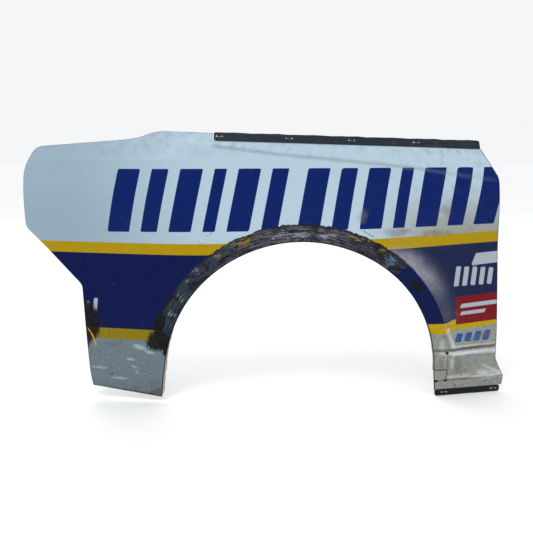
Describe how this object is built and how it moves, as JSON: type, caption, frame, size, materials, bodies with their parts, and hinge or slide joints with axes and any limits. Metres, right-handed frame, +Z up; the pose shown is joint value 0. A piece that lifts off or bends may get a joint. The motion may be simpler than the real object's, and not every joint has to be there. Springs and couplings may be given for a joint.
{
  "type": "stock car rear quarter panel",
  "caption": "Right rear quarter panel of a stock car: a moulded skin around the wheel opening, with mounting rails, return flanges, bonded ribs, brace brackets and nutplates.",
  "frame": {"origin": "centre of the upper mounting rail's exposed outer face, midway between its two middle screw stations", "axes": "+X towards the front of the car, +Y inboard, +Z up; the outer face looks towards -Y"},
  "size_m": [1.5643, 0.1992, 0.8664],
  "materials": {
    "wrapped_skin": "printed vinyl wrap over moulded composite, scratched and rubbed through around the wheel opening",
    "bare_composite": "bare black composite, satin",
    "raw_composite": "raw glass and aramid laminate, frayed at the edge",
    "cored_composite": "black laminate over foam core",
    "rivet_aluminium": "plain",
    "bracket_aluminium": "brushed sheet",
    "plated_steel": "dull yellowish plating"
  },
  "bodies": {
    "root": {"quarter_skin": "wrapped_skin", "upper_rail": "bare_composite", "upper_rail_1_nutplate": "plated_steel", "upper_rail_1_rivet_rear": "rivet_aluminium", "upper_rail_1_rivet_front": "rivet_aluminium", "upper_rail_2_nutplate": "plated_steel", "upper_rail_2_rivet_rear": "rivet_aluminium", "upper_rail_2_rivet_front": "rivet_aluminium", "upper_rail_3_nutplate": "plated_steel", "upper_rail_3_rivet_rear": "rivet_aluminium", "upper_rail_3_rivet_front": "rivet_aluminium", "upper_rail_4_nutplate": "plated_steel", "upper_rail_4_rivet_rear": "rivet_aluminium", "upper_rail_4_rivet_front": "rivet_aluminium", "sill_rail": "bare_composite", "sill_rail_1_nutplate": "plated_steel", "sill_rail_1_rivet_rear": "rivet_aluminium", "sill_rail_1_rivet_front": "rivet_aluminium", "sill_rail_2_nutplate": "plated_steel", "sill_rail_2_rivet_rear": "rivet_aluminium", "sill_rail_2_rivet_front": "rivet_aluminium", "wheel_opening_flange": "raw_composite", "tail_flange": "bare_composite", "tail_flange_1_nutplate": "plated_steel", "tail_flange_1_rivet_rear": "rivet_aluminium", "tail_flange_1_rivet_front": "rivet_aluminium", "tail_flange_2_nutplate": "plated_steel", "tail_flange_2_rivet_rear": "rivet_aluminium", "tail_flange_2_rivet_front": "rivet_aluminium", "tail_flange_3_nutplate": "plated_steel", "tail_flange_3_rivet_rear": "rivet_aluminium", "tail_flange_3_rivet_front": "rivet_aluminium", "door_flange": "bare_composite", "door_flange_1_nutplate": "plated_steel", "door_flange_1_rivet_rear": "rivet_aluminium", "door_flange_1_rivet_front": "rivet_aluminium", "door_flange_2_nutplate": "plated_steel", "door_flange_2_rivet_rear": "rivet_aluminium", "door_flange_2_rivet_front": "rivet_aluminium", "deck_flange": "bare_composite", "shoulder_rib": "cored_composite", "wheel_opening_rib": "cored_composite", "tail_brace_pad": "cored_composite", "tail_brace_bracket": "bracket_aluminium", "tail_brace_rivet_1": "rivet_aluminium", "tail_brace_rivet_2": "rivet_aluminium", "rear_leg_brace_pad": "cored_composite", "rear_leg_brace_bracket": "bracket_aluminium", "rear_leg_brace_rivet_1": "rivet_aluminium", "rear_leg_brace_rivet_2": "rivet_aluminium", "front_brace_pad": "cored_composite", "front_brace_bracket": "bracket_aluminium", "front_brace_rivet_1": "rivet_aluminium", "front_brace_rivet_2": "rivet_aluminium"}
  },
  "joints": []
}
